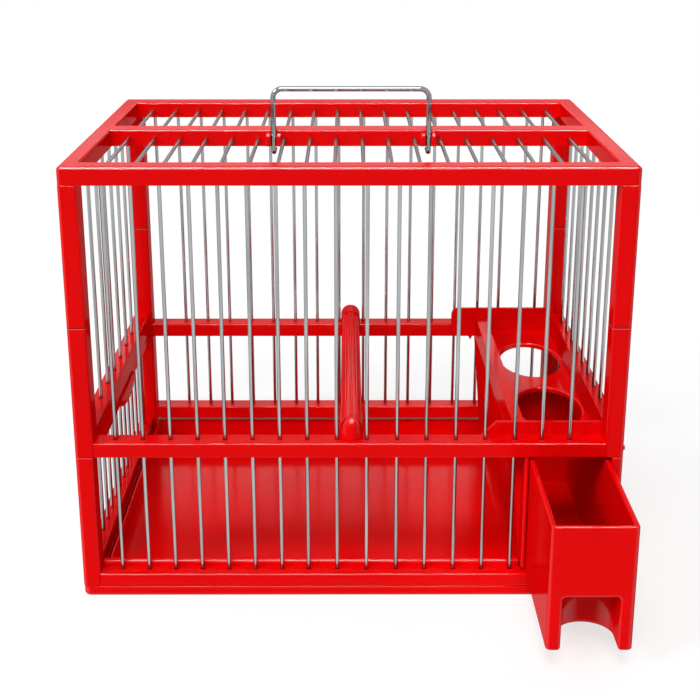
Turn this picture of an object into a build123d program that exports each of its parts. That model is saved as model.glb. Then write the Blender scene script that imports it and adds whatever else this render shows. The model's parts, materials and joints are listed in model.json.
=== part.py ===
"""Songbird cage with a pull-out feed drawer: moulded frame, wire walls, tray, drop door and handle.

Millimetres. X runs to the right, Y to the back, Z up. The origin is under the middle of the base.
"""

import os

from build123d import *

os.makedirs("parts", exist_ok=True)

# Overall size
cage_width = 300.0
cage_depth = 240.0
cage_height = 245.0
half_width = cage_width / 2
front = -cage_depth / 2
back = cage_depth / 2

# Heights where the moulded storeys meet
base_top = 6.0
sill_top = 13.7
mid_bottom = 84.5
mid_top = 92.8
back_mid_bottom = 81.0
back_mid_top = 90.0
side_rail_top = 97.5
post_seam = 158.6
roof_bottom = 235.4

# Sections of the moulded bars
post_width = 10.5
back_post_width = 12.3
lower_left_width = 9.8
post_depth = 14.0
side_bar = 10.0
sill_depth = 10.5
edge_round = 0.8
post_round = 1.3
corner_round = 2.5
outline_band = 3.0
seam_bevel = 0.3

# Doorway of the feed drawer, in the lower right of the front
doorway_left = 99.2
doorway_right = 143.2
doorway_play = 0.4
slide_gap = 0.2

# Wires of the walls and the roof
wire_radius = 1.05
wire_hole_radius = 1.45
wire_bite = 4.0
wall_inset = 7.0
front_y = front + wall_inset
back_y = back - wall_inset
left_x = -145.0
right_x = 146.0
roof_wire_z = 240.0
side_reach = 85.0


def middle(span):
    """The middle of a span, given by its two ends."""
    return (span[0] + span[1]) / 2


def size(span):
    """The length of a span, given by its two ends."""
    return span[1] - span[0]


def save(piece, name):
    """Label a finished piece and write its file."""
    piece.part.label = name
    export_step(piece.part, f"parts/{name}.step")


def bar(x_span, y_span, z_span, along, hole_spots=(), hole_depth=0.0):
    """A straight moulded bar with rounded long edges, and wire holes sunk into its top."""
    with BuildPart() as piece:
        with BuildSketch(Plane.XY.offset(z_span[0])):
            with Locations((middle(x_span), middle(y_span))):
                Rectangle(size(x_span), size(y_span))
        extrude(amount=size(z_span))
        fillet(piece.edges().filter_by(along), edge_round)
        if hole_spots:
            with Locations(*[(x, y, z_span[1] - hole_depth / 2) for x, y in hole_spots]):
                Cylinder(wire_hole_radius, hole_depth, mode=Mode.SUBTRACT)
    return piece


def post(side, end, z_span, width, pin_socket=None, eased_ends=False, nub=None):
    """A corner post of one storey, its outer corner rounded most, with a pin socket or a side nub."""
    with BuildPart() as piece:
        with BuildSketch(Plane.XY.offset(z_span[0])) as section:
            with Locations((side * (half_width - width / 2), end * (back - post_depth / 2))):
                Rectangle(width, post_depth)
            outwards = section.vertices().sort_by(lambda corner: side * corner.X + end * corner.Y)
            fillet(outwards[-1], corner_round)
            outwards = section.vertices().sort_by(lambda corner: side * corner.X + end * corner.Y)
            fillet(outwards[:3], post_round)
        extrude(amount=size(z_span))
        if eased_ends:
            chamfer(piece.faces().filter_by(Axis.Z).edges(), seam_bevel)
        if pin_socket:
            x, z, radius, depth = pin_socket
            socket_y = end * (back - post_depth + depth / 2)
            with Locations(Location((x, socket_y, z), (90, 0, 0))):
                Cylinder(radius, depth, mode=Mode.SUBTRACT)
        if nub:
            y, z, radius, proud, taper = nub
            with BuildSketch(Plane.YZ.offset(half_width - seam_bevel)):
                with Locations((y, z)):
                    Circle(radius)
            extrude(amount=proud + seam_bevel, taper=taper)
    return piece


def on_outside(edge):
    """True for a level edge on the outline of the cage."""
    spot = edge.center()
    return abs(spot.X) > half_width - outline_band or abs(spot.Y) > back - outline_band


def upright_wires(spots, z_span):
    """A row of straight upright wires."""
    with BuildPart() as wires:
        with BuildSketch(Plane.XY.offset(z_span[0])):
            with Locations(*spots):
                Circle(wire_radius)
        extrude(amount=size(z_span))
    return wires


def spread(count, first, last):
    """Evenly spaced places from the first to the last."""
    return [first + (last - first) * i / (count - 1) for i in range(count)]


# Places of the wires: bays left and right of the perch, and a last bay over the drawer
front_left_bay = spread(8, -128.4, -23.1) + [-6.9]
front_right_bay = [9.6] + spread(5, 26.2, 90.8)
front_drawer_bay = [105.8, 121.0]
back_xs = spread(9, -130.2, -6.8) + spread(6, 10.1, 90.3) + [104.9, 120.0, 130.5]
roof_xs = spread(18, -129.5, 129.5)
left_ys = spread(8, -side_reach, side_reach)
right_ys = spread(9, -side_reach, side_reach)


# Base pan: a flat floor with a rim on three sides, open at the back for the tray
pan_floor = 2.5
pan_corner = 4.0
pan_foot_round = 2.0
pan_rim_round = 0.5

with BuildPart() as base_pan:
    with BuildSketch():
        RectangleRounded(cage_width, cage_depth, pan_corner)
    extrude(amount=base_top)
    with BuildSketch(Plane.XY.offset(pan_floor)):
        with Locations((0, sill_depth / 2)):
            Rectangle(cage_width - 2 * post_width, cage_depth - sill_depth)
    extrude(amount=base_top - pan_floor, mode=Mode.SUBTRACT)
    fillet(base_pan.faces().sort_by(Axis.Z)[0].edges(), pan_foot_round)
    fillet(base_pan.faces().sort_by(Axis.Z)[-1].edges().filter_by(on_outside), pan_rim_round)
save(base_pan, "base_pan")

# Dropping tray: a shallow open box with thin walls and a pull lip along its back
tray_x = (-137.2, 98.2)
tray_y = (-105.0, 111.4)
tray_bottom = 2.8
tray_rim_top = 16.2
tray_floor = 2.0
tray_wall = 1.4
tray_corner = 3.0
tray_rim_round = 0.5
pull_lip_y = (109.0, 117.0)
pull_lip_thickness = 2.0

with BuildPart() as dropping_tray:
    tray_middle = (middle(tray_x), middle(tray_y))
    with BuildSketch(Plane.XY.offset(tray_bottom)):
        with Locations(tray_middle):
            RectangleRounded(size(tray_x), size(tray_y), tray_corner)
    extrude(amount=tray_rim_top - tray_bottom)
    with BuildSketch(Plane.XY.offset(tray_rim_top - pull_lip_thickness)):
        with Locations((tray_middle[0], middle(pull_lip_y))):
            RectangleRounded(size(tray_x), size(pull_lip_y), tray_corner)
    extrude(amount=pull_lip_thickness)
    with BuildSketch(Plane.XY.offset(tray_bottom + tray_floor)):
        with Locations(tray_middle):
            RectangleRounded(
                size(tray_x) - 2 * tray_wall, size(tray_y) - 2 * tray_wall, tray_corner - tray_wall
            )
    extrude(amount=tray_rim_top, mode=Mode.SUBTRACT)
    fillet(dropping_tray.faces().sort_by(Axis.Z)[-1].edges(), tray_rim_round)
save(dropping_tray, "dropping_tray")

# Side door: a wire panel that drops outwards on two pins at its lower bar
door_reach = 105.4
door_axis_z = 17.5
door_bar_half = 4.5
door_bar_z = (13.0, 20.0)
door_pin_radius = 2.0
door_pin_length = 5.0
door_top_z = (78.0, 84.1)
door_top_x = (-149.5, -140.5)
door_wire_count = 13
door_wire_reach = 92.4
grip_half_width = 26.0
grip_bottom = 74.3
grip_x = (-142.5, -138.5)

with BuildPart() as door_bottom_bar:
    with BuildSketch(Plane.XZ.offset(-door_reach)):
        with Locations((left_x, middle(door_bar_z))):
            RectangleRounded(2 * door_bar_half, size(door_bar_z), edge_round)
    extrude(amount=2 * door_reach)
    with BuildSketch(Plane.XZ.offset(-door_reach - door_pin_length)):
        with Locations((left_x, door_axis_z)):
            Circle(door_pin_radius)
    extrude(amount=2 * (door_reach + door_pin_length))
save(door_bottom_bar, "door_bottom_bar")

with BuildPart() as door_top_bar:
    with BuildSketch(Plane.XY.offset(door_top_z[0])):
        with Locations((middle(door_top_x), 0)):
            Rectangle(size(door_top_x), 2 * door_reach)
    extrude(amount=size(door_top_z))
    fillet(door_top_bar.edges().filter_by(Axis.Y), edge_round)
    with BuildSketch(Plane.YZ.offset(grip_x[0])):
        with BuildLine():
            ThreePointArc(
                (-grip_half_width, door_top_z[0] + edge_round),
                (0, grip_bottom),
                (grip_half_width, door_top_z[0] + edge_round),
            )
            Polyline(
                (grip_half_width, door_top_z[0] + edge_round),
                (grip_half_width, door_top_z[1] - edge_round),
                (-grip_half_width, door_top_z[1] - edge_round),
                (-grip_half_width, door_top_z[0] + edge_round),
            )
        make_face()
    extrude(amount=size(grip_x))
    fillet(door_top_bar.faces().sort_by(Axis.X)[-1].edges(), edge_round)
save(door_top_bar, "door_top_bar")

door_spots = [(left_x, y) for y in spread(door_wire_count, -door_wire_reach, door_wire_reach)]
save(upright_wires(door_spots, (door_bar_z[1] - wire_bite, door_top_z[0] + wire_bite)), "door_wires")

# Corner posts in three storeys, with sockets for the door pins in the two lower left ones
pin_play = 0.05
pin_end_gap = 0.3
front_mid_z = (mid_bottom, mid_top)
back_mid_z = (back_mid_bottom, back_mid_top)
slim_width = half_width - doorway_right - doorway_play
door_socket = (left_x, door_axis_z, door_pin_radius + pin_play, door_pin_length + pin_end_gap)
nub_radius = 1.9
nub_proud = 1.0
nub_taper = 30.0
nub_z = 88.9
nub_y = front + 4.0
post_nub = (nub_y, nub_z, nub_radius, nub_proud, nub_taper)
special_widths = {("lower", "front", "left"): lower_left_width, ("lower", "front", "right"): slim_width}

for side_name, side in (("left", -1), ("right", 1)):
    for end_name, end, rail_bottom in (("front", -1, mid_bottom), ("back", 1, back_mid_bottom)):
        storeys = {
            "lower": (base_top, rail_bottom),
            "upper": (rail_bottom, post_seam),
            "top": (post_seam, roof_bottom),
        }
        for storey, z_span in storeys.items():
            place = (storey, end_name, side_name)
            usual_width = post_width if end_name == "front" else back_post_width
            corner_post = post(
                side,
                end,
                z_span,
                special_widths.get(place, usual_width),
                door_socket if (storey, side_name) == ("lower", "left") else None,
                storey == "top",
                post_nub if place == ("upper", "front", "right") else None,
            )
            save(corner_post, f"{storey}_post_{end_name}_{side_name}")

# Rails of the lower storey. The back one is raised, so that the tray slides out under it
front_sill_bottom = 6.4
back_sill = (19.5, 28.0)
left_sill_top = 11.0
bead_x = (-139.8, 96.1)
bead_y = (-110.3, -105.7)
bead_top = 17.6
side_y = (front + post_depth, back - post_depth)
back_inner = half_width - back_post_width
full_spots = [(x, front_y) for x in front_left_bay + front_right_bay]
short_spots = [(x, front_y) for x in front_drawer_bay]

with BuildPart() as front_lower_rail:
    sill_x = (lower_left_width - half_width, doorway_right + doorway_play)
    with BuildSketch(Plane.YZ.offset(sill_x[0])):
        with Locations((front + sill_depth / 2, middle((front_sill_bottom, sill_top)))):
            RectangleRounded(sill_depth, sill_top - front_sill_bottom, edge_round)
    extrude(amount=size(sill_x))
    bead_radius = size(bead_y) / 2
    bead_z = (front_sill_bottom + edge_round, bead_top - bead_radius)
    with BuildSketch(Plane.YZ.offset(bead_x[0])):
        with Locations((middle(bead_y), middle(bead_z))):
            Rectangle(size(bead_y), size(bead_z))
        with Locations((middle(bead_y), bead_z[1])):
            Circle(bead_radius)
    extrude(amount=size(bead_x))
    with Locations(*[(x, y, sill_top - wire_bite / 2) for x, y in full_spots]):
        Cylinder(wire_hole_radius, wire_bite, mode=Mode.SUBTRACT)
save(front_lower_rail, "front_lower_rail")

back_rail_y = (back - post_depth, back)
save(bar((-back_inner, back_inner), back_rail_y, back_sill, Axis.X), "back_lower_rail")
left_lower_x = (-half_width, -half_width + side_bar)
right_lower_x = (half_width - side_bar, half_width)
save(bar(left_lower_x, side_y, (base_top, left_sill_top), Axis.Y), "left_lower_rail")
save(bar(right_lower_x, side_y, (base_top, sill_top), Axis.Y), "right_lower_rail")

# Rails of the middle ring, between the posts. The wires pass through the front one in clear holes
side_rail_z = (mid_bottom, side_rail_top)
right_mid_inner = 142.2
post_inner = half_width - post_width

with BuildPart() as front_mid_rail:
    with BuildSketch(Plane.YZ.offset(-post_inner)):
        with Locations((front + post_depth / 2, middle(front_mid_z))):
            RectangleRounded(post_depth, size(front_mid_z), edge_round)
    extrude(amount=2 * post_inner)
    with Locations(*[(x, y, middle(front_mid_z)) for x, y in full_spots]):
        Cylinder(wire_hole_radius, size(front_mid_z), mode=Mode.SUBTRACT)
    with Locations(*[(x, y, mid_top - wire_bite / 2) for x, y in short_spots]):
        Cylinder(wire_hole_radius, wire_bite, mode=Mode.SUBTRACT)
save(front_mid_rail, "front_mid_rail")
save(bar((-back_inner, back_inner), back_rail_y, back_mid_z, Axis.X), "back_mid_rail")

left_spots = [(left_x, y) for y in left_ys]
right_spots = [(right_x, y) for y in right_ys]
save(bar(left_lower_x, side_y, side_rail_z, Axis.Y, left_spots, wire_bite), "left_mid_rail")
save(bar((right_mid_inner, half_width), side_y, side_rail_z, Axis.Y), "right_mid_rail")

# Roof frame in two moulded halves that meet behind the centre bar
roof_inner = half_width - side_bar
roof_front_bar = 14.4
centre_bar_y = (-6.0, 9.0)
roof_back_bar = 18.0
roof_height = cage_height - roof_bottom
roof_corner = 3.0
roof_round = 2.0
window_round = 1.2
handle_xs = (-44.3, 46.7)
handle_radius = 1.5
ear_gap = 3.2
ear_width = 2.9
ear_reach = 3.9
ear_z = (235.9, 243.6)
ear_crown = 3.0
ear_round = 0.9


def round_roof(half):
    """Round the top edges of a roof half, the outside more than the windows, but not the seam."""
    for outside, radius in ((True, roof_round), (False, window_round)):
        top_edges = half.faces().sort_by(Axis.Z)[-1].edges()
        chosen = top_edges.filter_by(lambda edge: on_outside(edge) == outside)
        fillet(chosen.filter_by(lambda edge: abs(edge.center().Y - centre_bar_y[1]) > seam_bevel), radius)


with BuildPart() as top_frame_front:
    with BuildSketch(Plane.XY.offset(roof_bottom)) as roof_section:
        with Locations((0, middle((front, centre_bar_y[1])))):
            Rectangle(cage_width, centre_bar_y[1] - front)
        fillet(roof_section.vertices().group_by(Axis.Y)[0], roof_corner)
        window_y = (front + roof_front_bar, centre_bar_y[0])
        with Locations((0, middle(window_y))):
            Rectangle(2 * roof_inner, size(window_y), mode=Mode.SUBTRACT)
    extrude(amount=roof_height)
    round_roof(top_frame_front)
    ear_starts = [x + shift for x in handle_xs for shift in (-ear_gap / 2 - ear_width, ear_gap / 2)]
    ear_y = (centre_bar_y[0] - ear_reach, centre_bar_y[0])
    with BuildSketch(*[Plane.YZ.offset(x) for x in ear_starts]) as ear_profile:
        with Locations((middle(ear_y), middle(ear_z))):
            Rectangle(size(ear_y), size(ear_z))
        fillet(ear_profile.vertices().group_by(Axis.X)[0].sort_by(Axis.Y)[-1], ear_crown)
    extrude(amount=ear_width)
    ear_edges = top_frame_front.edges().filter_by_position(Axis.Y, ear_y[0], ear_y[1] - ear_round / 2)
    ear_edges = ear_edges.filter_by_position(Axis.Z, ear_z[0] + ear_round, ear_z[1])
    fillet(ear_edges.filter_by(Axis.X, reverse=True), ear_round)
save(top_frame_front, "top_frame_front")

with BuildPart() as top_frame_rear:
    with BuildSketch(Plane.XY.offset(roof_bottom)) as roof_section:
        with Locations((0, middle((centre_bar_y[1], back)))):
            Rectangle(cage_width, back - centre_bar_y[1])
        fillet(roof_section.vertices().group_by(Axis.Y)[-1], roof_corner)
        window_y = (centre_bar_y[1], back - roof_back_bar)
        with Locations((0, middle(window_y))):
            Rectangle(2 * roof_inner, size(window_y), mode=Mode.SUBTRACT)
    extrude(amount=roof_height)
    round_roof(top_frame_rear)
save(top_frame_rear, "top_frame_rear")

# Wire walls and roof, pressed into the moulded bars
wire_top = roof_bottom + wire_bite
back_spots = [(x, back_y) for x in back_xs]
save(upright_wires(full_spots, (sill_top - wire_bite, wire_top)), "front_wires")
save(upright_wires(short_spots, (mid_top - wire_bite, wire_top)), "front_short_wires")
save(upright_wires(back_spots, (back_sill[1] - wire_bite, wire_top)), "back_wires")
save(upright_wires(left_spots, (side_rail_top - wire_bite, wire_top)), "left_wires")
save(upright_wires(right_spots, (sill_top - wire_bite, wire_top)), "right_wires")

roof_wire_y = (front + roof_front_bar - wire_bite, back - roof_back_bar + wire_bite)
with BuildPart() as roof_wires:
    with BuildSketch(Plane.XZ.offset(-roof_wire_y[1])):
        with Locations(*[(x, roof_wire_z) for x in roof_xs]):
            Circle(wire_radius)
    extrude(amount=size(roof_wire_y))
save(roof_wires, "roof_wires")

# Carry handle: one bent wire that slides between the ears, with feet hooked under the centre bar
handle_gap = 0.5
handle_top = 270.7
handle_y = centre_bar_y[0] - handle_gap - handle_radius
handle_bar_z = handle_top - handle_radius
foot_z = 232.2
foot_end = 3.0
foot_bend = 2.4
handle_bend = 5.2

with BuildPart() as carry_handle:
    with BuildLine() as handle_line:
        FilletPolyline(
            (handle_xs[0], foot_end, foot_z),
            (handle_xs[0], handle_y, foot_z),
            (handle_xs[0], handle_y, handle_bar_z),
            (handle_xs[1], handle_y, handle_bar_z),
            (handle_xs[1], handle_y, foot_z),
            (handle_xs[1], foot_end, foot_z),
            radius=[foot_bend, handle_bend, handle_bend, foot_bend],
        )
    with BuildSketch(Plane((handle_xs[0], foot_end, foot_z), x_dir=(1, 0, 0), z_dir=(0, -1, 0))):
        Circle(handle_radius)
    sweep(path=handle_line.wires()[0])
save(carry_handle, "carry_handle")

# Feeder guard: a leaning partition and a shelf over the drawer, with two feed holes and flanges
beam_rear_x = (87.9, 94.7)
beam_skew = 0.0152
beam_top = 97.4
wall_foot_x = 93.2
wall_foot_z = 18.6
wall_thickness = 2.4
shelf_z = (83.1, 86.0)
shelf_left = 90.0
guard_right = 141.8
guard_flange = 2.2
flange_y = back - post_depth - slide_gap
flange_thickness = 3.0
jamb_x = (96.4, 98.6)
jamb_y = (front + 1.0, flange_thickness / 2 - flange_y)
jamb_z = (17.0, mid_bottom - slide_gap)
jamb_round = 1.0
front_flange_left = 73.0
front_flange_top = 99.8
rear_flange_left = 71.6
rear_flange_top = 102.3
right_flange_top = 102.0
flange_bevel = 8.6
flange_corner = 5.0
feed_hole_x = 118.9
feed_hole_ys = (-45.0, 41.5)
feed_hole_half = (19.4, 33.5)
feed_hole_round = 1.2
snap_x = (83.0, 87.0)
snap_tip = 79.5

with BuildPart() as feeder_guard:
    with BuildSketch(Plane.XZ.offset(-flange_y)):
        with BuildLine():
            Polyline(
                (beam_rear_x[0], beam_top),
                (beam_rear_x[1], beam_top),
                (beam_rear_x[1], shelf_z[0]),
                (beam_rear_x[0] + wall_thickness, shelf_z[0]),
                (wall_foot_x + wall_thickness, wall_foot_z),
                (wall_foot_x, wall_foot_z),
                (beam_rear_x[0], shelf_z[0]),
                close=True,
            )
        make_face()
    extrude(amount=2 * flange_y, dir=(beam_skew, -1, 0))
    with BuildSketch(Plane.XZ.offset(-flange_y)):
        with Locations((middle((shelf_left, guard_right)), middle(shelf_z))):
            Rectangle(guard_right - shelf_left, size(shelf_z))
        with Locations((guard_right - guard_flange / 2, middle((shelf_z[0], right_flange_top)))):
            Rectangle(guard_flange, right_flange_top - shelf_z[0])
    extrude(amount=2 * flange_y)
    with BuildSketch(Plane.XY.offset(shelf_z[0])):
        with Locations(*[(feed_hole_x, y) for y in feed_hole_ys]):
            Ellipse(*feed_hole_half)
    extrude(amount=size(shelf_z), mode=Mode.SUBTRACT)
    fillet(feeder_guard.edges().filter_by(GeomType.ELLIPSE).group_by(Axis.Z)[-1], feed_hole_round)
    with BuildSketch(Plane.XZ.offset(flange_y - flange_thickness)) as front_flange:
        with Locations((middle((front_flange_left, guard_right)), middle((shelf_z[0], front_flange_top)))):
            Rectangle(guard_right - front_flange_left, front_flange_top - shelf_z[0])
        chamfer(front_flange.vertices().group_by(Axis.X)[0].sort_by(Axis.Y)[-1], flange_bevel)
    extrude(amount=flange_thickness)
    with BuildSketch(Plane.XZ.offset(-flange_y)) as rear_flange:
        with Locations((middle((rear_flange_left, guard_right)), middle((shelf_z[0], rear_flange_top)))):
            Rectangle(guard_right - rear_flange_left, rear_flange_top - shelf_z[0])
        fillet(rear_flange.vertices().group_by(Axis.X)[0], flange_corner)
        with BuildLine():
            Polyline(
                (snap_x[0], shelf_z[0]),
                (snap_x[1], shelf_z[0]),
                (middle(snap_x), snap_tip),
                close=True,
            )
        make_face()
    extrude(amount=flange_thickness)
    lean_shift = 2 * flange_y * beam_skew
    with BuildSketch(Plane.XZ.offset(flange_y - flange_thickness)):
        with BuildLine():
            Polyline(
                (wall_foot_x + lean_shift, wall_foot_z),
                (jamb_x[1], wall_foot_z),
                (jamb_x[1], shelf_z[0]),
                (beam_rear_x[0] + lean_shift, shelf_z[0]),
                close=True,
            )
        make_face()
    extrude(amount=flange_thickness)
    with BuildSketch(Plane.XY.offset(jamb_z[0])) as jamb:
        with Locations((middle(jamb_x), middle(jamb_y))):
            Rectangle(size(jamb_x), size(jamb_y))
        fillet(jamb.vertices().group_by(Axis.Y)[0], jamb_round)
    extrude(amount=size(jamb_z))
    jamb_foot = feeder_guard.faces().filter_by(Axis.Z).sort_by(Axis.Z)[0]
    fillet(jamb_foot.edges().sort_by(Axis.Y)[:3], jamb_round / 2)
save(feeder_guard, "feeder_guard")

# Feed drawer, pulled out by two fifths: an open box with a deep finger pocket let into its front
drawer_pulled = 82.5
drawer_length = 205.0
drawer_y = (front - drawer_pulled, front - drawer_pulled + drawer_length)
drawer_x = (doorway_left, doorway_right)
drawer_z = (sill_top + slide_gap, 82.8)
drawer_wall = 2.9
drawer_corner = 2.8
drawer_inner_corner = 1.4
drawer_rim_round = 1.1
pocket_radius = 14.5
pocket_straight = 13.2
pocket_top = 43.5
pocket_round = 2.0
pocket_lip = 1.8
drawer_middle = (middle(drawer_x), middle(drawer_y))
pocket_end = (middle(drawer_x), drawer_y[0] + pocket_straight)


def thumb_shape(radius, z_span):
    """A block that is half round at its rear and runs out through the front of the drawer."""
    with BuildPart() as shape:
        with BuildSketch(Plane.XY.offset(z_span[0])):
            with Locations(pocket_end):
                Circle(radius)
                with Locations((0, -pocket_straight)):
                    Rectangle(2 * radius, 2 * pocket_straight)
        extrude(amount=size(z_span))
        fillet(shape.faces().sort_by(Axis.Z)[-1].edges(), pocket_round)
    return shape.part


pocket = thumb_shape(pocket_radius, (drawer_z[0], pocket_top))
shell_z = (drawer_z[0] + edge_round, pocket_top + drawer_wall)
pocket_shell = thumb_shape(pocket_radius + drawer_wall, shell_z)

with BuildPart() as feed_drawer:
    with BuildSketch(Plane.XY.offset(drawer_z[0])):
        with Locations(drawer_middle):
            RectangleRounded(size(drawer_x), drawer_length, drawer_corner)
    extrude(amount=size(drawer_z))
    fillet(feed_drawer.faces().sort_by(Axis.Z)[0].edges(), edge_round)
    with BuildSketch(Plane.XY.offset(drawer_z[0] + drawer_wall)):
        with Locations(drawer_middle):
            RectangleRounded(
                size(drawer_x) - 2 * drawer_wall, drawer_length - 2 * drawer_wall, drawer_inner_corner
            )
    extrude(amount=size(drawer_z), mode=Mode.SUBTRACT)
    fillet(feed_drawer.faces().sort_by(Axis.Z)[-1].edges(), drawer_rim_round)
    add(pocket_shell)
    split(bisect_by=Plane.XZ.offset(-drawer_y[0]), keep=Keep.BOTTOM)
    add(pocket, mode=Mode.SUBTRACT)
    pocket_x = (pocket_end[0] - pocket_radius, pocket_end[0] + pocket_radius)
    lip = feed_drawer.edges().group_by(Axis.Y)[0].filter_by_position(Axis.X, *pocket_x)
    fillet(lip.filter_by_position(Axis.Z, drawer_z[0], pocket_top), pocket_lip)
save(feed_drawer, "feed_drawer")

# Perch: a fluted rod whose two capped ends sit on the mid rails, with a tall dome at the front
perch_x = 1.1
perch_seat = 5.8
perch_radius = 6.1
perch_rod_y = (-89.0, 96.0)
perch_cap_ends = (-110.2, 113.5)
perch_cap_radius = 6.5
perch_end_round = 1.2
dome_radius = 6.2
dome_height = 12.2
dome_foot = (6.5, 2.4)
flute_count = 12
flute_radius = 0.8
flute_centre = perch_radius + 0.3
perch_front_z = mid_top + perch_seat
perch_back_z = back_mid_top + perch_seat
perch_drop = (perch_front_z - perch_back_z) / (back_y - front_y)
perch_axis = Plane(
    (perch_x, 0, middle((perch_front_z, perch_back_z))), x_dir=(1, 0, 0), z_dir=(0, 1, -perch_drop)
)

with BuildPart() as perch_rod:
    with BuildSketch(perch_axis.offset(perch_rod_y[0])):
        Circle(perch_radius)
        with PolarLocations(flute_centre, flute_count):
            Circle(flute_radius, mode=Mode.SUBTRACT)
    extrude(amount=size(perch_rod_y))
save(perch_rod, "perch_rod")


def perch_cap(rod_end, cap_end, rail_top, domed):
    """A bar, round above and flat below, that carries the rod's end on a rail."""
    with BuildPart() as cap:
        with BuildSketch(perch_axis.offset(rod_end)):
            Circle(perch_cap_radius)
            with Locations((0, perch_cap_radius)):
                Rectangle(2 * perch_cap_radius, 2 * perch_cap_radius)
        extrude(amount=cap_end - rod_end)
        outer_end = cap.faces().sort_by(Axis.Y)[-1 if cap_end > 0 else 0]
        fillet(outer_end.edges().sort_by(Axis.Z)[1:], perch_end_round)
        if domed:
            with BuildSketch(Plane.XZ.offset(-cap_end)):
                with BuildLine():
                    EllipticalCenterArc((perch_x, rail_top), dome_radius, dome_height, arc_size=90)
                    Polyline(
                        (perch_x, rail_top + dome_height),
                        (perch_x, rail_top),
                        (perch_x + dome_radius, rail_top),
                    )
                make_face()
            revolve(axis=Axis((perch_x, cap_end, 0), (0, 0, 1)))
            with Locations((perch_x, cap_end, rail_top + dome_foot[1] / 2)):
                Cylinder(dome_foot[0], dome_foot[1])
        with Locations((perch_x, middle((rod_end, cap_end)), rail_top - perch_cap_radius)):
            Box(3 * perch_cap_radius, 4 * size(perch_rod_y), 2 * perch_cap_radius, mode=Mode.SUBTRACT)
    return cap


save(perch_cap(perch_rod_y[0], perch_cap_ends[0], mid_top, True), "perch_cap_front")
save(perch_cap(perch_rod_y[1], perch_cap_ends[1], back_mid_top, False), "perch_cap_back")
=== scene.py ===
"""Looks of the songbird cage: glossy red mouldings, zinc wires, bright handle, pale studio."""

import json
import math

import bpy
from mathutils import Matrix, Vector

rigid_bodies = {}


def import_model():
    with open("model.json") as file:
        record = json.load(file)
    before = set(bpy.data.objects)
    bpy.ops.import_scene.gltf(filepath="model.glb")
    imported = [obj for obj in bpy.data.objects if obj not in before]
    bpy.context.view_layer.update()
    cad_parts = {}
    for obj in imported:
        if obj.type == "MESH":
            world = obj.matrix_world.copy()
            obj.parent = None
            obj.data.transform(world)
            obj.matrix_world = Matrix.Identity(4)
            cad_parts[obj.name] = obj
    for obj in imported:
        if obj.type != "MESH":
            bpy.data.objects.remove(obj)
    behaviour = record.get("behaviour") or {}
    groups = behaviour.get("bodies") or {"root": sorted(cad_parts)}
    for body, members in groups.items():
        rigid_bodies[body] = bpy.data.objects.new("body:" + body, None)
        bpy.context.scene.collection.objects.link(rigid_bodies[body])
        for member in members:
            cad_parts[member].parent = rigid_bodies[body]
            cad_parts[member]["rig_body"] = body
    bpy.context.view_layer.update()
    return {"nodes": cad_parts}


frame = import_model()
nodes = frame["nodes"]

# Camera of the photograph: pixels, then millimetres, metres and degrees
IMAGE_SIZE = 700
FOCAL_PIXELS = 1371.1
SENSOR_WIDTH = 36.0
CAMERA_PLACE = (-0.00084, -0.81153, 0.37913)
CAMERA_PITCH_DOWN = 18.574
CAMERA_YAW = 0.101

# Colours, as linear light
RED = (0.74, 0.0012, 0.0018, 1.0)
RED_DEEP = (0.68, 0.0008, 0.0012, 1.0)
# Painted highlight and painted shade lines for the posts' seams
SEAM_PAINTED_HIGHLIGHT = (0.80, 0.09, 0.09, 1.0)
SEAM_PAINTED_SHADE = (0.22, 0.0005, 0.0008, 1.0)
ZINC = (0.50, 0.52, 0.52, 1.0)
ZINC_DARK = (0.34, 0.35, 0.35, 1.0)
ZINC_EDGE = (0.02, 0.02, 0.02, 1.0)
# Roof wires: the same zinc as the uprights, painted lighter for the light that falls on the roof
ROOF_ZINC_PAINTED_LIGHTER = (0.82, 0.84, 0.84, 1.0)
ROOF_ZINC_DARK_PAINTED_LIGHTER = (0.60, 0.62, 0.62, 1.0)
ROOF_ZINC_EDGE = (0.30, 0.30, 0.31, 1.0)
BRIGHT_STEEL = (0.32, 0.33, 0.34, 1.0)
STEEL_DARK = (0.25, 0.26, 0.27, 1.0)
STEEL_EDGE = (0.02, 0.02, 0.02, 1.0)
FLOOR_WHITE = (1.0, 1.0, 1.0, 1.0)
FLOOR_BOUNCE = (0.68, 0.68, 0.68, 1.0)
LIGHT_WHITE = (1.0, 1.0, 1.0, 1.0)

# Gloss of the plastic, by how far a surface turns away from the viewer: (turn, specular level)
PLASTIC_IOR = 1.46
GLOSS = (
    (0.16, 0.05), (0.25, 0.40), (0.40, 0.40), (0.54, 0.025),
    (0.75, 0.0012), (0.87, 0.0012), (0.91, 0.0),
)
# The same on level faces, which would mirror the front box when seen from behind
LEVEL_GLOSS = (
    (0.16, 0.006), (0.50, 0.006), (0.58, 0.02),
    (0.75, 0.0012), (0.87, 0.0012), (0.91, 0.0),
)
# Upward part of the normal where a face starts to count as level, and where it fully does
LEVEL_FACE = (0.93, 0.985)

# Least roughness of each body's plastic, and how much it varies
ROUGHNESS = {"cage": 0.12, "feed_drawer": 0.12, "dropping_tray": 0.15, "side_door": 0.12}
ROUGHNESS_SPREAD = 0.015

# Unevenness of the plastic: noise cells per metre, and heights in metres
FLOW_CELLS = 14
ROUGHNESS_CELLS = 90
WAVE_CELLS, WAVE_HEIGHT = 30, 0.00001
PEEL_CELLS, PEEL_HEIGHT = 900, 0.000003

# Painted lines at the seams between the storeys of the posts, as (middle, half) of a line above or
# below the joint:
# painted highlight just below it and painted shade just above, in metres
SEAM_PAINTED_HIGHLIGHT_BAND = (-0.00030, 0.00024)
SEAM_PAINTED_SHADE_BAND = (0.00024, 0.00024)

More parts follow.
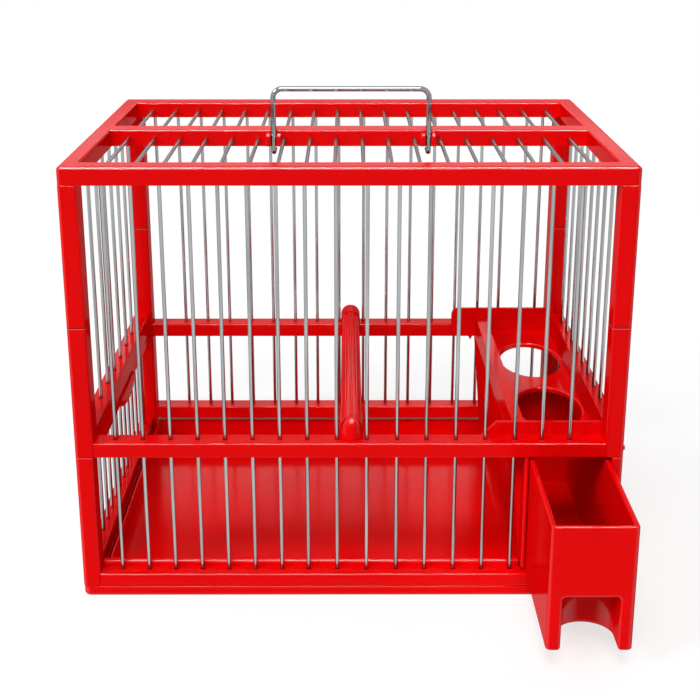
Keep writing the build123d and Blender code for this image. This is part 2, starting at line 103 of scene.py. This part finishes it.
# Grain of the wires: noise cells per metre across them, drawn out along their length
MOTTLE_CELLS = 260
LINE_CELLS = 2200
LINE_SHIFT = 1.7
WIRE_ROUGHNESS_SPREAD = 0.06
ALONG_X, ALONG_Y, ALONG_Z = (0.06, 1, 1), (1, 0.06, 1), (1, 1, 0.06)

# Range in which most of a noise lies, and how much its finer octaves count
NOISE_MIDDLE = (0.3, 0.7)
NOISE_ROUGHNESS = 0.55

# Floor: half its width, the share of its shadow that is kept, and where that fades, in metres
FLOOR_HALF = 12.0
SHADOW_SHARE = 0.30
SHADOW_REACH = (0.45, 1.1)

# World: a pale panel behind and above the object, and a dim room in front of it
FRONT_LEVEL = 0.15
HORIZON_LEVEL = 0.15
PANEL_LEVEL = 0.62
PANEL_FOOT = (0.13, 0.21)
FRONT_TO_BACK = (-0.6, 0.6)

# Point that the lamps are turned to
AIM = (0, 0, 0.1)


class Nodes:
    """A short way to build a node tree."""

    def __init__(self, tree):
        self.tree = tree
        tree.nodes.clear()

    def add(self, kind, **settings):
        node = self.tree.nodes.new(kind)
        for name, value in settings.items():
            setattr(node, name, value)
        return node

    def link(self, source, target):
        self.tree.links.new(source, target)

    def noise(self, vector, scale, detail=3.0):
        """Value noise at that many cells per metre."""
        node = self.add("ShaderNodeTexNoise")
        node.inputs["Scale"].default_value = scale
        node.inputs["Detail"].default_value = detail
        node.inputs["Roughness"].default_value = NOISE_ROUGHNESS
        self.link(vector, node.inputs["Vector"])
        return node.outputs["Fac"]

    def spread(self, value, source, target, kind="SMOOTHSTEP"):
        """A value spread from one range to another."""
        node = self.add("ShaderNodeMapRange", interpolation_type=kind)
        node.inputs["From Min"].default_value, node.inputs["From Max"].default_value = source
        node.inputs["To Min"].default_value, node.inputs["To Max"].default_value = target
        self.link(value, node.inputs["Value"])
        return node.outputs["Result"]

    def between(self, noise, low, high):
        """A noise spread evenly from low to high."""
        return self.spread(noise, NOISE_MIDDLE, (low, high), "LINEAR")

    def mix(self, noise, first, second):
        """A colour between two, by a noise."""
        node = self.add("ShaderNodeMix", data_type="RGBA")
        node.inputs["A"].default_value = first
        node.inputs["B"].default_value = second
        self.link(self.between(noise, 0.0, 1.0), node.inputs["Factor"])
        return node.outputs["Result"]

    def lines(self, base, colour, heights, half):
        """A colour with level lines of another one at those heights."""
        parts = self.add("ShaderNodeSeparateXYZ")
        self.link(self.place(), parts.inputs["Vector"])
        for height in heights:
            on_line = self.add("ShaderNodeMath", operation="COMPARE")
            on_line.inputs[1].default_value = height
            on_line.inputs[2].default_value = half
            self.link(parts.outputs["Z"], on_line.inputs[0])
            node = self.add("ShaderNodeMix", data_type="RGBA")
            node.inputs["B"].default_value = colour
            self.link(on_line.outputs["Value"], node.inputs["Factor"])
            self.link(base, node.inputs["A"])
            base = node.outputs["Result"]
        return base

    def bump(self, height, distance, normal=None):
        """A normal tilted by a height that is given as a share of the distance."""
        node = self.add("ShaderNodeBump")
        node.inputs["Distance"].default_value = distance
        node.inputs["Strength"].default_value = 1.0
        self.link(height, node.inputs["Height"])
        if normal is not None:
            self.link(normal, node.inputs["Normal"])
        return node.outputs["Normal"]

    def place(self, stretch=(1.0, 1.0, 1.0), shift=0.0):
        """Object coordinates, stretched and shifted."""
        coordinates = self.add("ShaderNodeTexCoord")
        mapping = self.add("ShaderNodeMapping")
        mapping.inputs["Scale"].default_value = stretch
        mapping.inputs["Location"].default_value = (shift, shift, shift)
        self.link(coordinates.outputs["Object"], mapping.inputs["Vector"])
        return mapping.outputs["Vector"]

    def gloss(self, steps):
        """A specular level that depends on how far the surface turns away."""
        turn = self.add("ShaderNodeLayerWeight")
        turn.inputs["Blend"].default_value = 0.5
        ramp = self.add("ShaderNodeValToRGB")
        points = ramp.color_ramp.elements
        while len(points) < len(steps):
            points.new(1.0)
        for point, (place, level) in zip(points, steps):
            point.position = place
            point.color = (level, level, level, 1.0)
        self.link(turn.outputs["Facing"], ramp.inputs["Fac"])
        return ramp.outputs["Color"]

    def levelness(self):
        """One on faces that look straight up, and zero on those that clearly lean."""
        geometry = self.add("ShaderNodeNewGeometry")
        parts = self.add("ShaderNodeSeparateXYZ")
        self.link(geometry.outputs["Normal"], parts.inputs["Vector"])
        return self.spread(parts.outputs["Z"], LEVEL_FACE, (0.0, 1.0))

    def seen_directly(self):
        """One for rays of the camera and of mirrors and glass, and zero for light that bounces."""
        path = self.add("ShaderNodeLightPath")
        total = path.outputs["Is Camera Ray"]
        for kind in ("Is Glossy Ray", "Is Transmission Ray"):
            both = self.add("ShaderNodeMath", operation="MAXIMUM")
            self.link(total, both.inputs[0])
            self.link(path.outputs[kind], both.inputs[1])
            total = both.outputs["Value"]
        return total

    def surface(self):
        """A Principled shader on the material's output."""
        shader = self.add("ShaderNodeBsdfPrincipled")
        output = self.add("ShaderNodeOutputMaterial")
        self.link(shader.outputs["BSDF"], output.inputs["Surface"])
        return shader


def new_material(name):
    material = bpy.data.materials.new(name)
    material.use_nodes = True
    return material, Nodes(material.node_tree)


def moulded_plastic(name, shift, smooth, seams=()):
    """Glossy red plastic with a faint flow in its colour and an uneven skin; at any seam heights
    given, a painted highlight line just below each seam and a painted shade line just above it.
    """
    material, build = new_material(name)
    shader = build.surface()
    shader.inputs["IOR"].default_value = PLASTIC_IOR
    vector = build.place(shift=shift)

    colour = build.mix(build.noise(vector, FLOW_CELLS), RED, RED_DEEP)
    # Painted highlight just below each seam and painted shade just above it
    for line, (middle, half) in ((SEAM_PAINTED_HIGHLIGHT, SEAM_PAINTED_HIGHLIGHT_BAND), (SEAM_PAINTED_SHADE, SEAM_PAINTED_SHADE_BAND)):
        colour = build.lines(colour, line, [seam + middle for seam in seams], half)
    build.link(colour, shader.inputs["Base Color"])

    uneven = build.noise(vector, ROUGHNESS_CELLS)
    roughness = build.between(uneven, smooth, smooth + ROUGHNESS_SPREAD)
    build.link(roughness, shader.inputs["Roughness"])

    level = build.add("ShaderNodeMix", data_type="RGBA")
    build.link(build.levelness(), level.inputs["Factor"])
    build.link(build.gloss(GLOSS), level.inputs["A"])
    build.link(build.gloss(LEVEL_GLOSS), level.inputs["B"])
    build.link(level.outputs["Result"], shader.inputs["Specular IOR Level"])

    waves = build.bump(build.noise(vector, WAVE_CELLS, detail=1), WAVE_HEIGHT)
    peel = build.bump(build.noise(vector, PEEL_CELLS, detail=2), PEEL_HEIGHT, normal=waves)
    build.link(peel, shader.inputs["Normal"])
    return material


def drawn_wire(name, stretch, light, dark, edge, smooth, grain):
    """Drawn wire: mottled along its length, with fine lines that follow it."""
    material, build = new_material(name)
    shader = build.surface()
    mottle = build.noise(build.place(stretch), MOTTLE_CELLS, detail=4)
    lines = build.noise(build.place(stretch, shift=LINE_SHIFT), LINE_CELLS, detail=2)
    roughness = build.between(mottle, smooth, smooth + WIRE_ROUGHNESS_SPREAD)
    build.link(build.mix(mottle, light, dark), shader.inputs["Base Color"])
    build.link(roughness, shader.inputs["Roughness"])
    build.link(build.bump(lines, grain), shader.inputs["Normal"])
    shader.inputs["Metallic"].default_value = 1.0
    shader.inputs["Specular Tint"].default_value = edge
    return material


def top_of(name):
    """Height of a node's top, in its own coordinates."""
    return max(corner[2] for corner in nodes[name].bound_box)


# Materials of the moulded pieces and the wires
plastics = {
    body: moulded_plastic(f"red_plastic_{body}", shift, smooth)
    for shift, (body, smooth) in enumerate(ROUGHNESS.items())
}
storey_seams = [top_of("lower_post_front_left"), top_of("upper_post_front_left")]
# Posts' plastic, with painted highlight and painted shade lines at the storey seams
post_plastic_painted_seams = moulded_plastic("red_plastic_posts_painted_seams", 0, ROUGHNESS["cage"], storey_seams)
upright_zinc = drawn_wire(
    "zinc_upright", ALONG_Z, ZINC, ZINC_DARK, ZINC_EDGE, smooth=0.14, grain=0.000004
)
# Roof wires get the zinc painted lighter, standing in for the light they catch
roof_zinc_painted_lighter = drawn_wire(
    "zinc_roof_painted_lighter", ALONG_Y, ROOF_ZINC_PAINTED_LIGHTER, ROOF_ZINC_DARK_PAINTED_LIGHTER, ROOF_ZINC_EDGE, smooth=0.20, grain=0.000004
)
handle_steel = drawn_wire(
    "bright_handle_wire", ALONG_X, BRIGHT_STEEL, STEEL_DARK, STEEL_EDGE, smooth=0.06, grain=0.000001
)


def finish_of(name, node):
    """The material of a CAD node."""
    if name == "carry_handle":
        return handle_steel
    if name == "roof_wires":
        return roof_zinc_painted_lighter
    if name.endswith("_wires"):
        return upright_zinc
    if "_post_" in name:
        return post_plastic_painted_seams
    return plastics[node["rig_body"]]


# Each node gets its material. The plastic ones are gathered for strips that only they mirror
plastic_pieces = bpy.data.collections.new("plastic_pieces")
for name, node in nodes.items():
    finish = finish_of(name, node)
    node.data.materials.clear()
    node.data.materials.append(finish)
    if finish in (post_plastic_painted_seams, *plastics.values()):
        plastic_pieces.objects.link(node)


def pale_floor():
    """A matt pale floor that is seen as white and keeps part of the object's shadow near it."""
    material, build = new_material("pale_floor")
    distance = build.add("ShaderNodeVectorMath", operation="LENGTH")
    build.link(build.place(), distance.inputs["Vector"])
    white = build.spread(distance.outputs["Value"], SHADOW_REACH, (1.0 - SHADOW_SHARE, 1.0))
    seen = build.seen_directly()
    share = build.add("ShaderNodeMath", operation="MULTIPLY")
    build.link(seen, share.inputs[0])
    build.link(white, share.inputs[1])
    colour = build.add("ShaderNodeMix", data_type="RGBA")
    colour.inputs["A"].default_value = FLOOR_BOUNCE
    colour.inputs["B"].default_value = FLOOR_WHITE
    build.link(seen, colour.inputs["Factor"])
    matt = build.add("ShaderNodeBsdfDiffuse")
    build.link(colour.outputs["Result"], matt.inputs["Color"])
    glow = build.add("ShaderNodeEmission")
    glow.inputs["Strength"].default_value = 1.0
    blend = build.add("ShaderNodeMixShader")
    output = build.add("ShaderNodeOutputMaterial")
    build.link(share.outputs["Value"], blend.inputs["Fac"])
    build.link(matt.outputs["BSDF"], blend.inputs[1])
    build.link(glow.outputs["Emission"], blend.inputs[2])
    build.link(blend.outputs["Shader"], output.inputs["Surface"])
    return material


def make_floor():
    sides = ((-1, -1), (1, -1), (1, 1), (-1, 1))
    corners = [(x * FLOOR_HALF, y * FLOOR_HALF, 0) for x, y in sides]
    mesh = bpy.data.meshes.new("floor")
    mesh.from_pydata(corners, [], [(0, 1, 2, 3)])
    floor = bpy.data.objects.new("floor", mesh)
    bpy.context.scene.collection.objects.link(floor)
    mesh.materials.append(pale_floor())


def make_world():
    """Light from the panel and the dim front, where rays that see it directly find white."""
    world = bpy.data.worlds.new("studio")
    world.use_nodes = True
    bpy.context.scene.world = world
    build = Nodes(world.node_tree)
    direction = build.add("ShaderNodeTexCoord")
    parts = build.add("ShaderNodeSeparateXYZ")
    build.link(direction.outputs["Generated"], parts.inputs["Vector"])
    panel = build.spread(parts.outputs["Z"], PANEL_FOOT, (HORIZON_LEVEL, PANEL_LEVEL))
    behind = build.spread(parts.outputs["Y"], FRONT_TO_BACK, (0.0, 1.0))
    level = build.add("ShaderNodeMix", data_type="FLOAT")
    level.inputs["A"].default_value = FRONT_LEVEL
    build.link(behind, level.inputs["Factor"])
    build.link(panel, level.inputs["B"])
    strength = build.add("ShaderNodeMix", data_type="FLOAT")
    strength.inputs["B"].default_value = 1.0
    build.link(build.seen_directly(), strength.inputs["Factor"])
    build.link(level.outputs["Result"], strength.inputs["A"])
    glow = build.add("ShaderNodeBackground")
    output = build.add("ShaderNodeOutputWorld")
    glow.inputs["Color"].default_value = LIGHT_WHITE
    build.link(strength.outputs["Result"], glow.inputs["Strength"])
    build.link(glow.outputs["Background"], output.inputs["Surface"])


def hang_lamp(name, kind, place, power):
    """A lamp that points at the object."""
    lamp = bpy.data.lights.new(name, kind)
    lamp.energy = power
    holder = bpy.data.objects.new(name, lamp)
    bpy.context.scene.collection.objects.link(holder)
    holder.location = place
    direction = Vector(AIM) - Vector(place)
    holder.rotation_euler = direction.to_track_quat("-Z", "Y").to_euler()
    return holder


def broad_light(name, place, strength, width):
    """Even light from one side, soft at its edges by its width in degrees."""
    hang_lamp(name, "SUN", place, strength).data.angle = math.radians(width)


def mirror_strip(name, place, size, radiance):
    """A strip that only shows as a highlight on the plastic, and adds no light to the colours."""
    holder = hang_lamp(name, "AREA", place, radiance * math.pi * size[0] * size[1])
    holder.data.shape = "RECTANGLE"
    holder.data.size, holder.data.size_y = size
    holder.visible_diffuse = False
    holder.light_linking.receiver_collection = plastic_pieces


def make_camera():
    data = bpy.data.cameras.new("photo_camera")
    data.sensor_width = SENSOR_WIDTH
    data.lens = FOCAL_PIXELS / IMAGE_SIZE * SENSOR_WIDTH
    camera = bpy.data.objects.new("photo_camera", data)
    bpy.context.scene.collection.objects.link(camera)
    camera.location = CAMERA_PLACE
    pitch, yaw = math.radians(90 - CAMERA_PITCH_DOWN), math.radians(-CAMERA_YAW)
    camera.rotation_euler = (pitch, 0, yaw)
    bpy.context.scene.camera = camera


make_floor()
make_world()
broad_light("key_left", place=(-0.65, -0.45, 0.62), strength=1.50, width=18)
broad_light("front_high", place=(-0.10, -0.55, 0.83), strength=1.90, width=25)
mirror_strip("front_box", place=(0, -0.68, 1.63), size=(1.8, 1.3), radiance=78)
mirror_strip("roof_panel", place=(0, 1.2, 0.48), size=(1.6, 0.08), radiance=4.5)
make_camera()
bpy.context.scene.view_settings.view_transform = "Standard"
